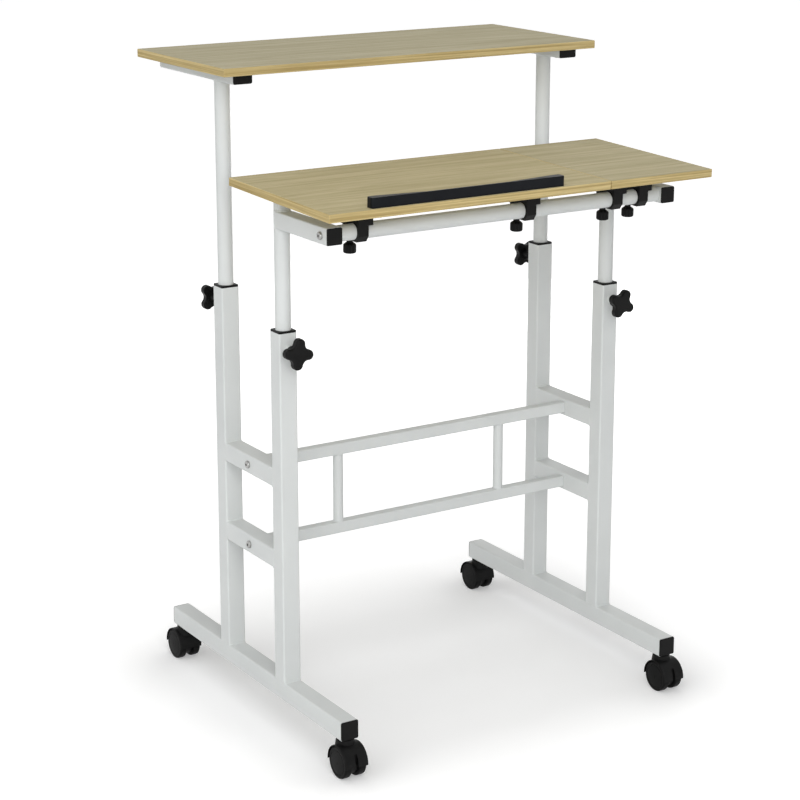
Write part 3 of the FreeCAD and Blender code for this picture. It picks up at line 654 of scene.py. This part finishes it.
# %% Put finishes on the nodes
slot_finish = {
    "white_paint": white_paint,
    "oak_board": shelf_oak_painted_shade,
    "black_plastic": black_plastic,
    "black_wheel": black_wheel,
    "bright_steel": bright_steel,
}
own_finish = {"large_panel": large_oak_painted_light, "small_panel": small_oak_painted_shade, "book_stop": stop_plastic}
for row in frame["record"]["subparts"]:
    name = row["node"]
    material = own_finish.get(name, slot_finish[row["material_slot"]])
    mesh = nodes[name].data
    mesh.materials.clear()
    mesh.materials.append(material)

# %% [markdown]
# ## Weld beads
# The side frames and the lifts are welded, and the photograph shows the beads: small rippled ridges
# where a rail meets a post or a post meets a foot. A bead is a thin tube carried along a closed path, and
# its radius swells and pinches as each puddle of metal froze over the last one.

# %% Helpers for swept surfaces
def grid_quads(rows, columns, first):
    """Faces of a grid of points that closes on itself both ways, numbered row by row from first."""
    row, column = np.meshgrid(np.arange(rows), np.arange(columns), indexing="ij")
    next_row = (row + 1) % rows
    next_column = (column + 1) % columns
    corners = [row * columns + column, next_row * columns + column]
    corners += [next_row * columns + next_column, row * columns + next_column]
    return np.stack(corners, axis=-1).reshape(-1, 4) + first


def make_piece(name, grids, body, material):
    """One mesh from several closed grids of points, smooth, facing outwards, riding on a body."""
    points = np.concatenate([grid.reshape(-1, 3) for grid in grids])
    starts = np.cumsum([0] + [grid.shape[0] * grid.shape[1] for grid in grids])
    quads = np.concatenate([grid_quads(*grid.shape[:2], start) for grid, start in zip(grids, starts)])
    mesh = bpy.data.meshes.new(name)
    mesh.from_pydata(points.tolist(), [], quads.tolist())
    work = bmesh.new()
    work.from_mesh(mesh)
    bmesh.ops.recalc_face_normals(work, faces=work.faces)
    work.to_mesh(mesh)
    work.free()
    mesh.shade_smooth()
    mesh.materials.append(material)
    made = bpy.data.objects.new(name, mesh)
    bpy.context.scene.collection.objects.link(made)
    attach(made, body)
    print(name, len(quads), "faces on", body)
    return made


def even_loop(path, spacing):
    """A closed path of any points, resampled to even steps of about one spacing."""
    closed = np.vstack([path, path[:1]])
    length = np.append(0.0, np.cumsum(np.linalg.norm(np.diff(closed, axis=0), axis=1)))
    count = int(round(length[-1] / spacing))
    at = np.linspace(0.0, length[-1], count, endpoint=False)
    return np.stack([np.interp(at, length, closed[:, axis]) for axis in range(3)], axis=1)


print("sweep helpers ready")

# %% The bead surface
ripple_length = 0.0032
ripple_depth = 0.14
steps_per_ripple = 6
sway_depth = 0.06
sways_per_seam = 3
sway_start = 40
bead_sides = 10
path_points = 96


def bead(path, outward, radius):
    """A weld bead. At arc length s and angle a, the point is path(s) + r(s) (cos a outward + sin a side),
    where side is the path's direction crossed with outward, and r(s) is the radius times a ripple,
    1 - depth (1 - |cos(pi s / ripple)|), times a slow sway along the seam, which starts at another point
    on each seam."""
    path = even_loop(path, ripple_length / steps_per_ripple)
    count = len(path)
    outward = outward(path)
    heading = np.roll(path, -1, axis=0) - np.roll(path, 1, axis=0)
    side = np.cross(heading, outward)
    side /= np.linalg.norm(side, axis=1, keepdims=True)
    turn = 2 * np.pi * np.arange(count) / count
    ripples = round(count / steps_per_ripple)
    ripple = 1.0 - ripple_depth * (1.0 - np.abs(np.cos(turn * ripples / 2)))
    sway = 1.0 + sway_depth * np.sin(sways_per_seam * turn + sway_start * path[0].sum())
    reach = (radius * ripple * sway)[:, None, None]
    angle = (2 * np.pi * np.arange(bead_sides) / bead_sides)[None, :, None]
    ring = np.cos(angle) * outward[:, None, :] + np.sin(angle) * side[:, None, :]
    return path[:, None, :] + reach * ring


def constant(direction):
    """An outward direction that is the same all along a flat path."""
    return lambda path: np.broadcast_to(np.array(direction, float), path.shape)


def from_upright(x, y):
    """An outward direction that points straight out from an upright axis at x and y."""
    def outward(path):
        out = path * np.array((1.0, 1.0, 0.0)) - np.array((x, y, 0.0))
        return out / np.linalg.norm(out, axis=1, keepdims=True)
    return outward


def ring_path(centre, radius, first, second):
    """A circle round a centre, in the plane of two unit vectors."""
    turn = np.linspace(0, 2 * np.pi, path_points, endpoint=False)[:, None]
    return np.array(centre) + radius * (np.cos(turn) * np.array(first) + np.sin(turn) * np.array(second))


def box_path(centre, half_first, half_second, corner, first, second):
    """A rectangle with round corners: quarter circles about four centres, joined by straight runs."""
    turn = np.linspace(0, 2 * np.pi, path_points, endpoint=False)[:, None] + np.pi / path_points
    u = np.sign(np.cos(turn)) * (half_first - corner) + corner * np.cos(turn)
    v = np.sign(np.sin(turn)) * (half_second - corner) + corner * np.sin(turn)
    return np.array(centre) + u * np.array(first) + v * np.array(second)


along_x, along_y, along_z = np.eye(3)
print("bead helpers ready")

# %% [markdown]
# ### Welds of the side frames
# Rails and posts are the same width, so the welds on the outer and inner faces are ground nearly flush,
# and those above and below a rail, or before and behind a post, stand proud. The paths are pulled in by
# 1.4 mm on the flush sides, which leaves only a faint line there.

# %% Side frame beads
flush_pull = 0.0014
proud_push = 0.0003
seam_corner = 0.003
boss_radius = 0.0080
frame_bead = 0.0020
thin_bead = 0.0012

frame_beads = []
for side in ("left", "right"):
    foot_low, foot_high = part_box(side + "_foot")
    tube_half = (foot_high.x - foot_low.x) / 2
    flush_half = tube_half - flush_pull
    proud_half = tube_half + proud_push
    rails_low, rails_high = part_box(side + "_side_rails")
    rail_heights = (rails_low.z + tube_half, rails_high.z - tube_half)
    for end, outward in (("front", -1), ("rear", 1)):
        post_low, post_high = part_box(f"{end}_{side}_post")
        x, y = ((post_low + post_high) / 2).xy
        base = (x, y, foot_high.z)
        path = box_path(base, flush_half, proud_half, seam_corner, along_x, along_y)
        frame_beads.append(bead(path, constant(along_z), frame_bead))
        for rail_height in rail_heights:
            seam = (x, y - outward * tube_half, rail_height)
            path = box_path(seam, flush_half, proud_half, seam_corner, along_x, along_z)
            frame_beads.append(bead(path, constant(along_y), frame_bead))
        knob_low, knob_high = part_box(f"{end}_{side}_knob")
        boss = (x, y + outward * tube_half, (knob_low.z + knob_high.z) / 2)
        path = ring_path(boss, boss_radius, along_x, along_z)
        frame_beads.append(bead(path, constant(along_y), thin_bead))
make_piece("frame_welds", frame_beads, "base_frame", white_paint)

# %% [markdown]
# ### Welds of the ladder and the lifts
# The round struts are welded to the crossbars, the rear tubes to the shelf bars, and each front tube sits
# in a scooped arm end. That last seam isn't flat: it goes half round the tube above the arm, down its
# side, half round below and up again, so its outward direction points straight out from the tube's
# middle.

# %% Ladder and lift beads
strut_low, strut_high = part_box("crossbar_struts")
strut_radius = (strut_high.y - strut_low.y) / 2
strut_beads = []
for x in (strut_low.x + strut_radius, strut_high.x - strut_radius):
    for z in (strut_low.z, strut_high.z):
        path = ring_path((x, (strut_low.y + strut_high.y) / 2, z), strut_radius, along_x, along_y)
        strut_beads.append(bead(path, constant(along_z), thin_bead))
make_piece("ladder_welds", strut_beads, "base_frame", white_paint)

lift_bead = 0.0018
rear_beads = []
for side in ("left", "right"):
    tube_low, tube_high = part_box(f"rear_{side}_tube")
    lift_radius = (tube_high.x - tube_low.x) / 2
    bar_low, bar_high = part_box(f"{side}_shelf_bar")
    x, y = ((tube_low + tube_high) / 2).xy
    path = ring_path((x, y, bar_low.z), lift_radius, along_x, along_y)
    rear_beads.append(bead(path, constant(along_z), lift_bead))
make_piece("rear_lift_welds", rear_beads, "rear_lift", white_paint)

# %% Scooped arm beads
scoop_bead = 0.0017
seam_lift = 0.0012
seam_proud = 0.0004


def scoop_path(x, y, low, high, radius):
    """The seam of a scooped arm on a tube: half circles at two heights, joined by upright runs."""
    turn = np.linspace(np.pi, 2 * np.pi, path_points // 2)
    half = np.stack([x + radius * np.cos(turn), y + radius * np.sin(turn)], axis=1)
    over = np.column_stack([half, np.full(len(turn), high)])
    under = np.column_stack([half[::-1], np.full(len(turn), low)])
    return np.vstack([over, under])


front_beads = []
for side in ("left", "right"):
    tube_low, tube_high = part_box(f"front_{side}_tube")
    lift_radius = (tube_high.x - tube_low.x) / 2
    arm_low, arm_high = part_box(f"{side}_arm")
    x, y = ((tube_low + tube_high) / 2).xy
    path = scoop_path(x, y, arm_low.z + seam_lift, arm_high.z + seam_proud, lift_radius + seam_proud)
    front_beads.append(bead(path, from_upright(x, y), scoop_bead))
make_piece("front_lift_welds", front_beads, "front_lift", white_paint)
